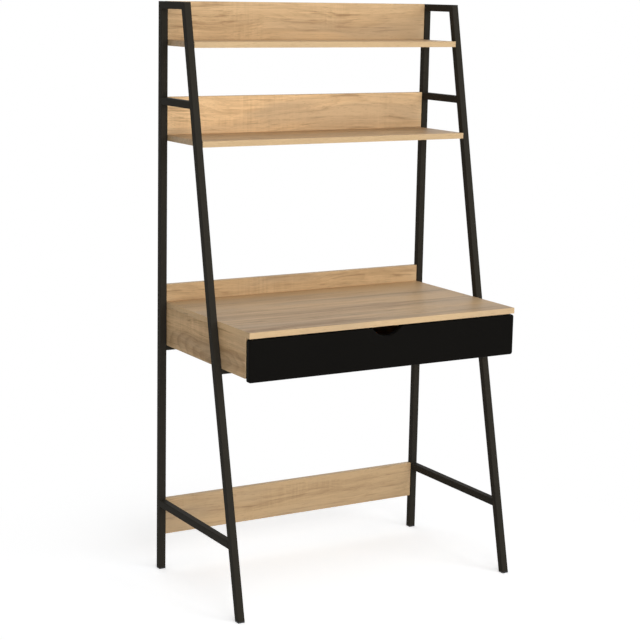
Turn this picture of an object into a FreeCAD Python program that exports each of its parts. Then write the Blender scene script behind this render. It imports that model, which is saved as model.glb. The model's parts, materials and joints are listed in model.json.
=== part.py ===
import FreeCAD, Part
import math
import os

# A ladder desk: two leaning side frames of square steel tube carry two shelves with
# back boards, a desk box with a drawer, and a stretcher board near the floor.
# Sizes are in millimetres. X points to the right, Y to the rear and Z up from the floor.
# A reach is a distance forward from the rear plane, where the rear legs and boards end.

V = FreeCAD.Vector
RIGHT = V(1, 0, 0)
REAR = V(0, 1, 0)
UP = V(0, 0, 1)
SIDES = (("left", -1), ("right", 1))

# Overall sizes
overall_height = 1600.0
clear_width = 838.0
desk_height = 775.0
desk_depth = 502.0

# Boards
board = 16.0
edge_ease = 0.6
back_board_height = 103.0
shelf_spacing = 258.0
shelf_overhang = 2.0
splash_height = 48.0
stretcher_top = 205.0

# Square tube of the side frames
tube = 20.0
tube_wall = 1.2
tube_corner = 2.0
tube_ease = 0.4
least_corner = 0.3

# Front legs, given by the reach of their front faces
reach_top = 156.0
reach_seam = 326.0
reach_floor = 498.0

# Seams between the upper and lower halves of the frames
seam_drop = 7.0
seam_plug_depth = 22.0
seam_pin_radius = 4.0
seam_pin_length = 14.0

# Plastic feet
foot_thickness = 4.0
foot_plug_depth = 14.0
foot_ease = 0.8
plug_clearance = 0.15

# Desk box under the desktop
side_panel_height = 107.0
cross_rail_depth = 20.0
cross_rail_height = 15.0

# Drawer
drawer_top_gap = 3.0
drawer_front_drop = 9.0
drawer_front_thickness = 15.0
drawer_front_gap = 7.0
drawer_front_round = 4.0
drawer_corner_extra = 2.5
drawer_wall = 12.0
drawer_side_height = 84.0
drawer_back_space = 50.0
drawer_bottom_thickness = 3.0
drawer_bottom_rise = 8.0
groove_depth = 6.0
groove_clearance = 0.15
finger_width = 92.0
finger_depth = 24.0
finger_lip_round = 16.0

# Roller slides, one pair on each side of the drawer
slide_space = 12.5
sheet = 1.2
bend_inside = 0.5
track_rise = 8.0
track_height = 28.0
track_floor_width = 10.0
track_lip_width = 9.0
runner_setback = 3.0
runner_shortfall = 20.0
roller_radius = 11.0
roller_width = 6.0
roller_hub_radius = 5.0
roller_rim = 2.0
roller_recess = 1.2
roller_chamfer = 0.6
roller_inset = 14.0
roller_running_gap = 0.3
front_roller_lift = 1.5
side_bottom_rise = 2.0
runner_foot_width = 11.0
axle_radius = 2.5
axle_clearance = 0.06
axle_head_radius = 4.0
axle_head_thickness = 1.0
axle_side_gap = 0.2
axle_wall_gap = 0.8

# Fasteners
hole_clearance = 0.15
bolt_radius = 3.0
bolt_head_radius = 5.5
bolt_head_height = 2.5
bolt_socket_width = 4.0
bolt_socket_depth = 1.6
frame_bolt_grip = 36.0
box_bolt_grip = 11.0
box_bolt_gap = 1.0
stretcher_bolt_inset = 26.0
screw_radius = 2.0
screw_head_radius = 3.5
screw_head_height = 1.4
cross_span = 3.6
cross_width = 0.9
cross_depth = 0.9
board_screw_grip = 24.0
board_screw_inset = 90.0
rail_screw_grip = 12.0
rail_screw_gap = 6.0
runner_screw_grip = 9.0
foot_screw_gap = 2.0
runner_screw_inset = 50.0
runner_screw_drop = 7.0
drawer_screw_grip = 22.0
drawer_screw_inset = 18.0
cam_radius = 7.5
cam_cover = 1.0
cam_setback = 24.0
cam_inset = 60.0
drawer_cam_inset = 26.0
cam_bolt_radius = 3.0
cam_bolt_grip = 9.0
cam_head_length = 2.5
cam_neck_radius = 1.8
cam_neck_length = 7.0
cam_slot_length = 9.0
cam_slot_width = 1.4
cam_slot_depth = 1.2
dowel_radius = 4.0
dowel_length = 30.0
dowel_chamfer = 1.0
dowel_inset = 36.0
splash_dowel_depth = 10.0

# Places that follow from the sizes
rear_y = desk_depth / 2
frame_inner = clear_width / 2
frame_middle = frame_inner + tube / 2
frame_outer = frame_inner + tube
tube_bore = tube - 2 * tube_wall
bend_outside = bend_inside + sheet
bore_corner = max(tube_corner - tube_wall, least_corner)
plug_side = tube_bore - 2 * plug_clearance
seam_height = desk_height - seam_drop
lean_upper = math.atan2(reach_seam - reach_top, overall_height - seam_height)
lean_lower = math.atan2(reach_floor - reach_seam, seam_height)
top_shelf_height = overall_height - back_board_height
mid_shelf_height = top_shelf_height - shelf_spacing
mid_rung_top = mid_shelf_height + back_board_height
desk_under = desk_height - board
box_bottom = desk_under - side_panel_height
box_inner = frame_inner - board
front_back_reach = desk_depth - drawer_front_thickness
panel_front_reach = front_back_reach - drawer_front_gap
drawer_outer = box_inner - slide_space
drawer_inner = drawer_outer - drawer_wall
drawer_rear_reach = board + drawer_back_space
track_floor = box_bottom + track_rise
drawer_side_bottom = track_floor + side_bottom_rise
drawer_side_top = drawer_side_bottom + drawer_side_height
drawer_floor_under = drawer_side_bottom + drawer_bottom_rise
drawer_floor_top = drawer_floor_under + drawer_bottom_thickness
drawer_front_top = desk_under - drawer_top_gap
drawer_front_bottom = box_bottom - drawer_front_drop
cabinet_runner_front = panel_front_reach - runner_setback
cabinet_runner_rear = drawer_rear_reach + runner_shortfall - runner_setback
drawer_runner_rear = drawer_rear_reach + runner_shortfall

pieces = {}
groups = {}


def at(x, reach, z):
    """Point at an X place, a reach and a height."""
    return V(x, rear_y - reach, z)


def block(x_from, x_to, reach_from, reach_to, z_from, z_to):
    """Box between two X places, two reaches and two heights, in any order."""
    low = at(min(x_from, x_to), max(reach_from, reach_to), min(z_from, z_to))
    return Part.makeBox(abs(x_to - x_from), abs(reach_to - reach_from), abs(z_to - z_from), low)


def eased(solid):
    """Solid with all its edges broken by the small chamfer of an edge band."""
    return solid.makeChamfer(edge_ease, solid.Edges)


def rod(start, direction, radius, length):
    """Round rod from a start point along a direction, its seam line turned away from the main planes."""
    solid = Part.makeCylinder(radius, length, start, direction)
    solid.rotate(start, direction, 40)
    return solid


def front_reach(z):
    """Reach of the front legs' front faces at a height."""
    if z >= seam_height:
        return reach_top + (overall_height - z) * math.tan(lean_upper)
    return reach_seam + (seam_height - z) * math.tan(lean_lower)


def front_lean(z):
    """Lean of the front legs at a height, in radians from the vertical."""
    return lean_upper if z >= seam_height else lean_lower


def front_middle(z):
    """Reach of the front legs' middle at a height."""
    return front_reach(z) - tube / math.cos(front_lean(z)) / 2


def rounded_outline(width, height, corner):
    """Closed wire of a rectangle with rounded corners, centred on the origin in the XY plane."""
    half_diagonal = corner * math.sqrt(0.5)
    edges = []
    corners = []
    for turn_x, turn_y in ((1, 1), (-1, 1), (-1, -1), (1, -1)):
        centre = V(turn_x * (width / 2 - corner), turn_y * (height / 2 - corner), 0)
        side_point = centre + V(turn_x * corner, 0, 0)
        end_point = centre + V(0, turn_y * corner, 0)
        middle = centre + V(turn_x * half_diagonal, turn_y * half_diagonal, 0)
        ends = (side_point, end_point) if turn_x == turn_y else (end_point, side_point)
        corners.append((ends[0], middle, ends[1]))
    for index, (start, middle, end) in enumerate(corners):
        edges.append(Part.Arc(start, middle, end).toShape())
        edges.append(Part.LineSegment(end, corners[(index + 1) % 4][0]).toShape())
    return Part.Wire(edges)


def tube_face(width, height):
    """Section of a rectangular steel tube with rounded corners."""
    outside = rounded_outline(width, height, tube_corner)
    inside = rounded_outline(width - 2 * tube_wall, height - 2 * tube_wall, bore_corner)
    return Part.makeFace([outside, inside], "Part::FaceMakerBullseye")


def carried(face, start, turn, length):
    """Solid made by carrying a section from a start point along its turned normal."""
    placed = face.copy()
    placed.Placement = FreeCAD.Placement(start, turn)
    return placed.extrude(turn.multVec(UP) * length)


def trimmed(solid, point, beyond):
    """Solid without what lies past a plane through a point, on the side that beyond points to."""
    size = 2 * overall_height
    waste = Part.makeBox(size, size, size, V(-size / 2, -size / 2, 0))
    waste.Placement = FreeCAD.Placement(point, FreeCAD.Rotation(UP, beyond))
    return solid.cut(waste)


def between_heights(solid, z_from, z_to):
    """Solid cut level at two heights."""
    return trimmed(trimmed(solid, V(0, 0, z_to), UP), V(0, 0, z_from), UP * -1)


def leaning_bar(face, x, z_from, z_to, lean):
    """Bar that follows a front leg, cut level at two heights."""
    turn = FreeCAD.Rotation(RIGHT, -math.degrees(lean))
    reach = front_middle((z_from + z_to) / 2)
    length = (z_to - z_from) / math.cos(lean) + 4 * tube
    middle = at(x, reach, (z_from + z_to) / 2)
    start = middle - turn.multVec(UP) * (length / 2)
    return between_heights(carried(face, start, turn, length), z_from, z_to)


def upright_bar(face, x, z_from, z_to):
    """Bar that follows a rear leg between two heights."""
    return carried(face, at(x, tube / 2, z_from), FreeCAD.Rotation(), z_to - z_from)


def level_bar(face, x, z_middle):
    """Bar from the rear plane to past the front legs, level, at the middle of a side frame."""
    turn = FreeCAD.Rotation(RIGHT, -90)
    return carried(face, at(x, reach_floor + tube, z_middle), turn, reach_floor + tube)


def solid_square(side, corner):
    """Section of a solid square bar with rounded corners."""
    return Part.Face(rounded_outline(side, side, corner))


def top_mitres(rail, rear_post, front_post, x):
    """Rail and posts cut to the mitre planes of the frame's two top corners."""
    inner_height = overall_height - tube
    rear_corner = at(x, 0, overall_height)
    rear_normal = V(0, -1, 1)
    front_corner = at(x, reach_top, overall_height)
    inner_reach = front_reach(inner_height) - tube / math.cos(lean_upper)
    front_normal = V(0, tube, reach_top - inner_reach)
    rear_post = trimmed(rear_post, rear_corner, rear_normal)
    front_post = trimmed(front_post, front_corner, front_normal)
    rail = trimmed(rail, rear_corner, rear_normal * -1)
    rail = trimmed(rail, front_corner, front_normal * -1)
    return rail, rear_post, front_post


def eased_end(solid, z):
    """Tube with the outer rim of its level end at a height rounded off."""
    level = [f for f in solid.Faces if f.BoundBox.ZLength < least_corner]
    end = [f for f in level if abs(f.BoundBox.ZMin - z) < least_corner][0]
    return solid.makeFillet(tube_ease, end.OuterWire.Edges)


def rung(face, x, top):
    """Level tube between a rear leg's front face and a front leg's rear face."""
    z_middle = top - tube / 2
    lean = front_lean(z_middle)
    bar = trimmed(level_bar(face, x, z_middle), at(x, tube, z_middle), REAR)
    front_face = at(x, front_reach(z_middle) - tube / math.cos(lean), z_middle)
    return trimmed(bar, front_face, V(0, -math.cos(lean), math.sin(lean)))


def foot(bar, x):
    """Plastic foot: a pad of the tube's outline with a rounded sole, and a plug that fills the tube's end."""
    pad = bar(solid_square(tube, tube_corner), x, 0, foot_thickness)
    pad = pad.makeFillet(foot_ease, [e for e in pad.Edges if e.BoundBox.ZMax < least_corner])
    plug = bar(solid_square(plug_side, bore_corner), x, foot_thickness, foot_thickness + foot_plug_depth)
    return pad.fuse(plug).removeSplitter()


def front_bar(face, x, z_from, z_to):
    """Leaning bar whose lean is that of the front leg at its own height."""
    return leaning_bar(face, x, z_from, z_to, front_lean((z_from + z_to) / 2))


def seam_plugs(bar, x, pin_reach):
    """Lower plug with an upright pin, and upper plug with the hole that takes it."""
    face = solid_square(plug_side, bore_corner)
    pin_start = at(x, pin_reach, seam_height - seam_plug_depth / 2)
    pin_reach_up = seam_plug_depth / 2 + seam_pin_length
    lower = bar(face, x, seam_height - seam_plug_depth, seam_height)
    lower = lower.fuse(rod(pin_start, UP, seam_pin_radius, pin_reach_up))
    upper = bar(face, x, seam_height, seam_height + seam_plug_depth)
    hole = rod(pin_start, UP, seam_pin_radius + hole_clearance, pin_reach_up + plug_clearance)
    return lower.removeSplitter(), upper.cut(hole)


def side_frames():
    """Two side frames of mitred and butted tubes, with their seam plugs and feet."""
    face = tube_face(tube, tube)
    for side, sign in SIDES:
        x = sign * frame_middle
        rail = level_bar(face, x, overall_height - tube / 2)
        rear_post = upright_bar(face, x, seam_height, overall_height)
        front_post = front_bar(face, x, seam_height, overall_height + tube)
        front_post = trimmed(front_post, V(0, 0, seam_height), UP * -1)
        rail, rear_post, front_post = top_mitres(rail, rear_post, front_post, x)
        pieces[side + "_top_rail"] = rail
        pieces[side + "_upper_rear_post"] = eased_end(rear_post, seam_height)
        pieces[side + "_upper_front_post"] = eased_end(front_post, seam_height)
        pieces[side + "_mid_rung"] = rung(face, x, mid_rung_top)
        for name, bar in (("_lower_rear_leg", upright_bar), ("_lower_front_leg", front_bar)):
            leg = bar(face, x, foot_thickness, seam_height)
            pieces[side + name] = eased_end(eased_end(leg, seam_height), foot_thickness)
        pieces[side + "_lower_rung"] = rung(face, x, stretcher_top)
        pieces[side + "_rear_foot"] = foot(upright_bar, x)
        pieces[side + "_front_foot"] = foot(front_bar, x)
        pin_reach = front_middle(seam_height + seam_pin_length / 2)
        for bar, reach in ((upright_bar, tube / 2), (front_bar, pin_reach)):
            lower, upper = seam_plugs(bar, x, reach)
            groups.setdefault("seam_pin_plugs", []).append(lower)
            groups.setdefault("seam_socket_plugs", []).append(upper)


def shelf(name, height):
    """Shelf between the frames, flush with the rear plane and just proud of the front legs."""
    depth = front_reach(height) + shelf_overhang
    pieces[name] = eased(block(-frame_inner, frame_inner, 0, depth, height - board, height))


def standing_board(name, bottom, height):
    """Board on edge between the rear legs, flush with the rear plane."""
    pieces[name] = eased(block(-frame_inner, frame_inner, 0, board, bottom, bottom + height))


def shelves_and_boards():
    """Two shelves with their back boards, and the stretcher near the floor."""
    shelf("top_shelf", top_shelf_height)
    shelf("mid_shelf", mid_shelf_height)
    standing_board("top_back_board", top_shelf_height, back_board_height)
    standing_board("mid_back_board", mid_shelf_height, back_board_height)
    standing_board("stretcher_board", stretcher_top - back_board_height, back_board_height)


def desk_box():
    """Desktop with its splash board, side panels, back panel and two cross rails."""
    pieces["desktop"] = eased(block(-frame_inner, frame_inner, 0, desk_depth, desk_under, desk_height))
    standing_board("splash_board", desk_height, splash_height)
    for side, sign in SIDES:
        panel = block(sign * box_inner, sign * frame_inner, 0, panel_front_reach, box_bottom, desk_under)
        pieces[side + "_side_panel"] = eased(panel)
    pieces["box_back_panel"] = eased(block(-box_inner, box_inner, 0, board, box_bottom, desk_under))
    face = tube_face(cross_rail_height, cross_rail_depth)
    rail_middle = box_bottom - cross_rail_height / 2
    turn = FreeCAD.Rotation(REAR, 90)
    rails = (("front_cross_rail", front_middle(rail_middle)), ("rear_cross_rail", cross_rail_depth / 2))
    for name, reach in rails:
        pieces[name] = carried(face, at(-frame_inner, reach, rail_middle), turn, clear_width)


def finger_cut():
    """Half-moon tool for the finger hold: an arc below the front's top edge, with rounded lips."""
    arc_radius = (finger_width ** 2 / 4 + finger_depth ** 2) / (2 * finger_depth)
    lowest = drawer_front_top - finger_depth
    reach = desk_depth + drawer_front_thickness
    moon = rod(at(0, reach, lowest + arc_radius), REAR, arc_radius, 3 * drawer_front_thickness)
    back = reach - 3 * drawer_front_thickness
    band = block(-finger_width, finger_width, back, reach, lowest, drawer_front_top)
    return moon.common(band)


def drawer_front():
    """Black overlay front with rounded edges, a finger hold and a groove for the drawer's bottom."""
    front = block(-frame_inner, frame_inner, front_back_reach, desk_depth,
                  drawer_front_bottom, drawer_front_top)
    corners = [e for e in front.Edges if abs(e.BoundBox.YLength - drawer_front_thickness) < least_corner]
    front = front.makeFillet(drawer_front_round + drawer_corner_extra, corners)
    front = front.cut(finger_cut())
    lips = [e for e in front.Edges if lip_edge(e)]
    front = front.makeFillet(finger_lip_round, lips)
    face_y = rear_y - desk_depth
    rims = [e for e in front.Edges if abs(e.BoundBox.YMax - face_y) < least_corner]
    front = front.makeFillet(drawer_front_round, rims)
    return front.cut(floor_groove())


def lip_edge(edge):
    """True for the two edges where the finger hold meets the front's top."""
    box = edge.BoundBox
    across = abs(box.YLength - drawer_front_thickness) < least_corner
    at_top = abs(box.ZMin - drawer_front_top) < least_corner
    return across and at_top and abs(abs(box.XMin) - finger_width / 2) < least_corner


def floor_groove():
    """Tool that cuts the groove for the drawer's bottom in the front and both sides."""
    half_width = drawer_inner + groove_depth
    z_from = drawer_floor_under - groove_clearance
    z_to = drawer_floor_top + groove_clearance
    return block(-half_width, half_width, 0, front_back_reach + groove_depth, z_from, z_to)


def drawer():
    """Drawer of a front, two sides, a back and a grooved-in bottom."""
    pieces["drawer_front"] = drawer_front()
    for side, sign in SIDES:
        wall = block(sign * drawer_inner, sign * drawer_outer, drawer_rear_reach, front_back_reach,
                     drawer_side_bottom, drawer_side_top)
        pieces["drawer_" + side + "_side"] = eased(wall).cut(floor_groove())
    back_front_reach = drawer_rear_reach + drawer_wall
    pieces["drawer_back"] = block(-drawer_inner, drawer_inner, drawer_rear_reach, back_front_reach,
                                  drawer_floor_top, drawer_side_top)
    half_floor = drawer_inner + groove_depth - groove_clearance
    floor_front = front_back_reach + groove_depth - groove_clearance
    pieces["drawer_bottom"] = block(-half_floor, half_floor, drawer_rear_reach, floor_front,
                                    drawer_floor_under, drawer_floor_top)


def slide_x(sign, inward):
    """X place at a distance inward from a side panel's inner face."""
    return sign * (box_inner - inward)


def folded_strip(profile, sign, reach_from, reach_to):
    """Sheet-metal strip along the slide, its profile given by inward distances, heights and bend radii."""
    points = [at(slide_x(sign, inward), reach_from, z) for inward, z, _ in profile]
    corners = []
    for index, point in enumerate(points):
        radius = profile[index][2]
        back = (points[index - 1] - point).normalize() * radius
        ahead = (points[(index + 1) % len(points)] - point).normalize() * radius
        corners.append((point + back, point + (back + ahead) * (1 - math.sqrt(0.5)), point + ahead))
    edges = []
    for index, (start, middle, end) in enumerate(corners):
        if profile[index][2] > 0:
            edges.append(Part.Arc(start, middle, end).toShape())
        edges.append(Part.LineSegment(end, corners[(index + 1) % len(corners)][0]).toShape())
    return Part.Face(Part.Wire(edges)).extrude(REAR * (reach_from - reach_to))


def turned(profile, sign, reach, z):
    """Round piece turned about an X axis from points of inward distance and radius."""
    corners = [at(slide_x(sign, inward), reach, z + radius) for inward, radius in profile]
    face = Part.Face(Part.makePolygon(corners + corners[:1]))
    return face.revolve(at(0, reach, z), RIGHT, 360)


def roller(start, sign, reach, z):
    """Nylon roller with a hub, recessed sides and broken rim edges, from an inward distance."""
    end = start + roller_width
    bore = axle_radius + axle_clearance
    rim_inside = roller_radius - roller_rim
    half = [(start, bore), (end, bore), (end, roller_hub_radius), (end - roller_recess, roller_hub_radius),
            (end - roller_recess, rim_inside), (end, rim_inside), (end, roller_radius - roller_chamfer),
            (end - roller_chamfer, roller_radius), (start + roller_chamfer, roller_radius),
            (start, roller_radius - roller_chamfer), (start, rim_inside), (start + roller_recess, rim_inside),
            (start + roller_recess, roller_hub_radius), (start, roller_hub_radius)]
    return turned(half, sign, reach, z)


def axle(wall_face, boss_end, head_start, head_end, sign, reach, z):
    """Stepped rivet: a tail in the runner's wall, a boss, the axle and a flat head."""
    tail = wall_face[0]
    boss_start = wall_face[1]
    half = [(tail, 0), (tail, axle_radius), (boss_start, axle_radius), (boss_start, axle_head_radius),
            (boss_end, axle_head_radius), (boss_end, axle_radius), (head_start, axle_radius),
            (head_start, axle_head_radius), (head_end, axle_head_radius), (head_end, 0)]
    return turned(half, sign, reach, z)


def slides():
    """Cabinet and drawer runners with their rollers and riveted axles."""
    head_start = sheet + axle_wall_gap
    roller_start = head_start + axle_head_thickness + axle_side_gap
    roller_end = roller_start + roller_width
    web = slide_space - sheet
    rear_axle_z = track_floor + roller_running_gap + roller_radius
    front_axle_z = track_floor + front_roller_lift + roller_radius
    flange = front_axle_z + roller_radius + roller_running_gap
    ceiling = track_floor + track_height
    foot_end = slide_space + runner_foot_width
    front_reach_axle = cabinet_runner_front - roller_inset
    rear_reach_axle = drawer_runner_rear + roller_inset
    channel = [(0, track_floor - sheet, bend_outside), (track_floor_width, track_floor - sheet, 0),
               (track_floor_width, track_floor, 0), (sheet, track_floor, bend_inside),
               (sheet, ceiling, bend_inside), (track_lip_width, ceiling, 0),
               (track_lip_width, ceiling + sheet, 0), (0, ceiling + sheet, bend_outside)]
    carrier = [(roller_start, flange, 0), (web, flange, bend_inside),
               (web, drawer_side_bottom - sheet, bend_outside), (foot_end, drawer_side_bottom - sheet, 0),
               (foot_end, drawer_side_bottom, 0), (slide_space, drawer_side_bottom, bend_inside),
               (slide_space, flange + sheet, bend_outside), (roller_start, flange + sheet, 0)]
    for side, sign in SIDES:
        cabinet = folded_strip(channel, sign, cabinet_runner_front, cabinet_runner_rear)
        moving = folded_strip(carrier, sign, front_back_reach, drawer_runner_rear)
        cabinet_axle = axle((0, sheet), roller_start - axle_side_gap, roller_end + axle_side_gap,
                            roller_end + axle_side_gap + axle_head_thickness, sign,
                            front_reach_axle, front_axle_z)
        drawer_axle = axle((slide_space, web), roller_end + axle_side_gap, roller_start - axle_side_gap,
                           head_start, sign, rear_reach_axle, rear_axle_z)
        inward = RIGHT * -sign
        hole = axle_radius + axle_clearance
        web_start = at(slide_x(sign, web - sheet), rear_reach_axle, rear_axle_z)
        pieces[side + "_cabinet_runner"] = cabinet.cut(
            rod(at(slide_x(sign, -sheet), front_reach_axle, front_axle_z), inward, hole, 3 * sheet))
        pieces[side + "_drawer_runner"] = moving.cut(rod(web_start, inward, hole, 3 * sheet))
        pieces[side + "_front_roller"] = roller(roller_start, sign, front_reach_axle, front_axle_z)
        pieces[side + "_rear_roller"] = roller(roller_start, sign, rear_reach_axle, rear_axle_z)
        groups.setdefault("cabinet_roller_axles", []).append(cabinet_axle)
        groups.setdefault("drawer_roller_axles", []).append(drawer_axle)


def bolt(length):
    """Countersunk bolt with a hexagon socket, its head level with the origin and its shank along Z."""
    half = [V(), V(bolt_head_radius, 0, 0), V(bolt_radius, 0, bolt_head_height), V(bolt_radius, 0, length),
            V(0, 0, length), V()]
    solid = Part.Face(Part.makePolygon(half)).revolve(V(), UP, 360)
    socket_radius = bolt_socket_width / math.sqrt(3)
    angles = [math.radians(60 * step) for step in range(7)]
    ring = [V(socket_radius * math.cos(a), socket_radius * math.sin(a), 0) for a in angles]
    return solid.cut(Part.Face(Part.makePolygon(ring)).extrude(UP * bolt_socket_depth))


def screw(length):
    """Pan-head screw with a cross recess, its head below the origin and its shank along Z."""
    head = Part.makeCylinder(screw_head_radius, screw_head_height, V(0, 0, -screw_head_height))
    rim = [e for e in head.Edges if abs(e.BoundBox.ZMax + screw_head_height) < least_corner]
    head = head.makeChamfer(screw_head_height / 2, rim)
    for span, width in ((cross_span, cross_width), (cross_width, cross_span)):
        corner = V(-span / 2, -width / 2, -screw_head_height)
        head = head.cut(Part.makeBox(span, width, cross_depth, corner))
    return head.fuse(Part.makeCylinder(screw_radius, length))


def dowel_peg():
    """Dowel with chamfered ends, along Z from the origin."""
    peg = Part.makeCylinder(dowel_radius, dowel_length)
    return peg.makeChamfer(dowel_chamfer, [e for e in peg.Edges if e.BoundBox.ZLength < least_corner])


def cam_bolt(length):
    """Cam bolt with its head at the origin, a slim neck past the disc's rim and a shank along Z."""
    neck_end = cam_head_length + cam_neck_length
    half = [V(), V(cam_bolt_radius, 0, 0), V(cam_bolt_radius, 0, cam_head_length),
            V(cam_neck_radius, 0, cam_head_length), V(cam_neck_radius, 0, neck_end),
            V(cam_bolt_radius, 0, neck_end), V(cam_bolt_radius, 0, length), V(0, 0, length), V()]
    return Part.Face(Part.makePolygon(half)).revolve(V(), UP, 360)


def drive(group, fastener, radius, length, seat, direction, through):
    """Puts a fastener in its group, head on its seat, and drills the pieces that it passes through."""
    placed = fastener.copy()
    placed.Placement = FreeCAD.Placement(seat, FreeCAD.Rotation(UP, direction))
    groups.setdefault(group, []).append(placed)
    hole = rod(seat, direction, radius + hole_clearance, length + hole_clearance)
    for name in through:
        pieces[name] = pieces[name].cut(hole)


def sink_head(name, seat, direction):
    """Sinks a bolt's head into a tube's wall, with the clearance of its hole."""
    wide = bolt_head_radius + hole_clearance
    narrow = bolt_radius + hole_clearance
    cone = Part.makeCone(wide, narrow, bolt_head_height, seat, direction)
    cone.rotate(seat, direction, 40)
    pieces[name] = pieces[name].cut(cone)


def frame_bolts():
    """Bolts from the frames' outer faces into the ends of the shelves, boards and side panels."""
    long_bolt = bolt(tube + frame_bolt_grip)
    short_bolt = bolt(tube + box_bolt_grip)
    for side, sign in SIDES:
        inward = RIGHT * -sign
        rear_post = side + "_upper_rear_post"
        front_post = side + "_upper_front_post"
        rear_leg = side + "_lower_rear_leg"
        front_leg = side + "_lower_front_leg"
        long_places = []
        for name, height in (("top", top_shelf_height), ("mid", mid_shelf_height)):
            z = height - board / 2
            long_places.append((rear_post, name + "_shelf", tube / 2, z))
            long_places.append((front_post, name + "_shelf", front_middle(z), z))
            long_places.append((rear_post, name + "_back_board", board / 2, height + back_board_height / 2))
        stretcher_bottom = stretcher_top - back_board_height
        for z in (stretcher_top - stretcher_bolt_inset, stretcher_bottom + stretcher_bolt_inset):
            long_places.append((rear_leg, "stretcher_board", board / 2, z))
        for post, target, reach, z in long_places:
            seat = at(sign * frame_outer, reach, z)
            drive("frame_bolts", long_bolt, bolt_radius, tube + frame_bolt_grip, seat, inward, (post, target))
            sink_head(post, seat, inward)
        panel = side + "_side_panel"
        below_plug = seam_height - seam_plug_depth - box_bolt_gap - bolt_head_radius
        for z in (box_bottom + rail_screw_grip + rail_screw_gap, below_plug):
            for leg, reach in ((rear_leg, tube / 2), (front_leg, front_middle(z))):
                seat = at(sign * frame_outer, reach, z)
                drive("box_bolts", short_bolt, bolt_radius, tube + box_bolt_grip, seat, inward, (leg, panel))
                sink_head(leg, seat, inward)


def board_screws():
    """Screws up through the shelves into their back boards, and dowels between desktop and splash board."""
    fastener = screw(board + board_screw_grip)
    dowel = dowel_peg()
    for x in (board_screw_inset - frame_inner, 0, frame_inner - board_screw_inset):
        for name, height in (("top", top_shelf_height), ("mid", mid_shelf_height)):
            seat = at(x, board / 2, height - board)
            drive("board_screws", fastener, screw_radius, board + board_screw_grip, seat, UP,
                  (name + "_shelf", name + "_back_board"))
        seat = at(x, board / 2, desk_height - splash_dowel_depth)
        drive("wood_dowels", dowel, dowel_radius, dowel_length, seat, UP, ("desktop", "splash_board"))


def box_fasteners():
    """Rail screws, dowels in the back panel and cam locks that hold the desktop."""
    rail_screw = screw(cross_rail_height + rail_screw_grip)
    dowel = dowel_peg()
    bolt_length = cam_setback + cam_bolt_grip
    cam_pin = cam_bolt(bolt_length)
    for side, sign in SIDES:
        panel = side + "_side_panel"
        panel_middle = sign * (frame_inner - board / 2)
        rail_bottom = box_bottom - cross_rail_height
        front_rail_reach = front_middle(box_bottom - cross_rail_height / 2)
        rails = (("front_cross_rail", front_rail_reach), ("rear_cross_rail", cross_rail_depth / 2))
        for rail, reach in rails:
            drive("rail_screws", rail_screw, screw_radius, cross_rail_height + rail_screw_grip,
                  at(panel_middle, reach, rail_bottom), UP, (rail, panel))
        for z in (box_bottom + dowel_inset, desk_under - dowel_inset):
            seat = at(sign * (box_inner + board - edge_ease - dowel_radius), board / 2, z)
            drive("wood_dowels", dowel, dowel_radius, dowel_length, seat, RIGHT * -sign,
                  (panel, "box_back_panel"))
        for reach in (cam_inset, panel_front_reach - cam_inset):
            centre = at(sign * box_inner, reach, desk_under - cam_setback)
            pin_seat = at(panel_middle, reach, desk_under - cam_setback)
            drive("desktop_cam_bolts", cam_pin, cam_bolt_radius, bolt_length, pin_seat, UP,
                  (panel, "desktop"))
            cam_lock("desktop_cam_discs", centre, RIGHT * sign, board, pin_seat, UP, panel)


def cam_lock(group, centre, inward, thickness, pin_seat, pin_direction, host):
    """Cam disc let into a panel's face to past its middle, with a driver slot and a notch for its bolt."""
    depth = thickness / 2 + cam_bolt_radius + cam_cover
    notch = rod(pin_seat, pin_direction, cam_bolt_radius + hole_clearance, 2 * cam_radius)
    corner = V(-cam_slot_length / 2, -cam_slot_width / 2, 0)
    slot = Part.makeBox(cam_slot_length, cam_slot_width, cam_slot_depth, corner)
    slot.Placement = FreeCAD.Placement(centre, FreeCAD.Rotation(UP, inward))
    groups.setdefault(group, []).append(rod(centre, inward, cam_radius, depth).cut(notch).cut(slot))
    pocket = rod(centre, inward, cam_radius + hole_clearance, depth + hole_clearance)
    pieces[host] = pieces[host].cut(pocket)


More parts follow.
